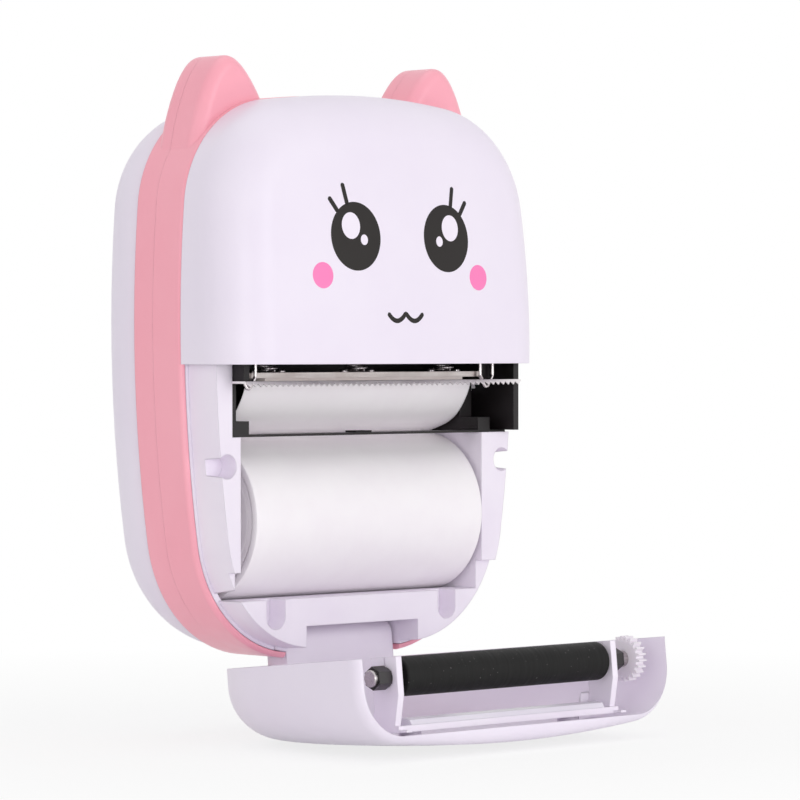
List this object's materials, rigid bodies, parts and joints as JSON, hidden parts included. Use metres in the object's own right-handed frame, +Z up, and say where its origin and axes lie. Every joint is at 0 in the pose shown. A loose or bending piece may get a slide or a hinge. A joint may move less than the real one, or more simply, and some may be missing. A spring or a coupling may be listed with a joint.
{
  "type": "thermal receipt printer",
  "caption": "Pocket thermal printer in a rounded case with eared band, hinged paper cover standing open, platen roller on the cover, sprung print head, tear bar and a paper roll.",
  "frame": {"origin": "middle of the bounding box, at the lowest point of the open cover", "axes": "+X to the right seen from the face, +Y to the back of the case, +Z up to the ears"},
  "size_m": [0.0794, 0.0758, 0.124],
  "materials": {
    "white_abs": "satin moulded",
    "pink_abs": "satin moulded",
    "pink_button": "satin moulded",
    "black_plastic": "moulded",
    "steel": "plain",
    "aluminium": "rolled",
    "ceramic": "glazed",
    "motor_can": "drawn",
    "paper": "smooth coated paper",
    "core": "card",
    "rubber": "ground",
    "nylon": "moulded",
    "gloss_white": "polished",
    "board": "solder mask",
    "battery": "foil pouch",
    "light_pipe": "clear"
  },
  "bodies": {
    "printer": {"rear_shell": "white_abs", "band_rear": "pink_abs", "band_front": "pink_abs", "inner_rim": "white_abs", "front_panel": "white_abs", "chassis": "white_abs", "hinge_pin": "steel", "head_frame": "black_plastic", "tear_bar": "steel", "latch_wire_left": "steel", "latch_wire_right": "steel", "head_springs": "steel", "paper_web": "paper", "paper_sensor": "black_plastic", "drive_axle": "steel", "idler_axle": "steel", "stepper_motor": "motor_can", "main_board": "board", "board_screws": "steel", "battery": "battery", "charge_port": "steel", "status_light": "light_pipe", "case_screws": "steel"},
    "cover": {"cover_shell": "white_abs", "hinge_arm": "white_abs", "platen_carrier": "white_abs", "guide_strip": "gloss_white", "platen_bush_left": "black_plastic", "platen_bush_right": "black_plastic"},
    "platen": {"platen_axle": "steel", "platen_rubber": "rubber", "platen_gear": "nylon"},
    "paper": {"paper_roll": "paper", "paper_core": "core"},
    "head": {"heat_plate": "aluminium", "head_substrate": "ceramic", "head_rivets": "steel"},
    "drive": {"drive_gear": "nylon"},
    "idler": {"idler_gear": "nylon"},
    "pinion": {"motor_pinion": "nylon"},
    "button": {"power_button": "pink_button"}
  },
  "joints": [
    {"name": "cover_hinge", "type": "hinge", "parent": "printer", "child": "cover", "pos_m": [0, 0.01333, 0.01739], "axis": [-1, 0, 0], "range_deg": [0, 84], "deforming": ["paper_web"]},
    {"name": "platen_spin", "type": "hinge", "parent": "cover", "child": "platen", "pos_m": [0, -0.03086, 0.01409], "axis": [1, 0, 0], "continuous": true},
    {"name": "paper_spin", "type": "hinge", "parent": "printer", "child": "paper", "pos_m": [0, 0.0163, 0.04009], "axis": [1, 0, 0], "continuous": true},
    {"name": "head_float", "type": "slide", "parent": "printer", "child": "head", "axis": [0, 0, 1], "range_m": [0, 0.0005], "stiffness_N_per_m": 1500, "springref_m": -0.001, "deforming": ["head_springs"]},
    {"name": "button_press", "type": "slide", "parent": "printer", "child": "button", "axis": [-1, 0, 0], "range_m": [0, 0.0005], "stiffness_N_per_m": 600, "springref_m": -0.0005},
    {"name": "drive_gear_spin", "type": "hinge", "parent": "printer", "child": "drive", "pos_m": [0.0334, 0.01217, 0.06773], "axis": [1, 0, 0], "continuous": true},
    {"name": "idler_gear_spin", "type": "hinge", "parent": "printer", "child": "idler", "pos_m": [0.0334, 0.02096, 0.07281], "axis": [1, 0, 0], "continuous": true},
    {"name": "pinion_spin", "type": "hinge", "parent": "printer", "child": "pinion", "pos_m": [0.0334, 0.02659, 0.06808], "axis": [1, 0, 0], "continuous": true}
  ],
  "couplings": [
    {"joint": "idler_gear_spin", "follows": "drive_gear_spin", "ratio": -0.93333},
    {"joint": "pinion_spin", "follows": "drive_gear_spin", "ratio": 2.3333}
  ]
}
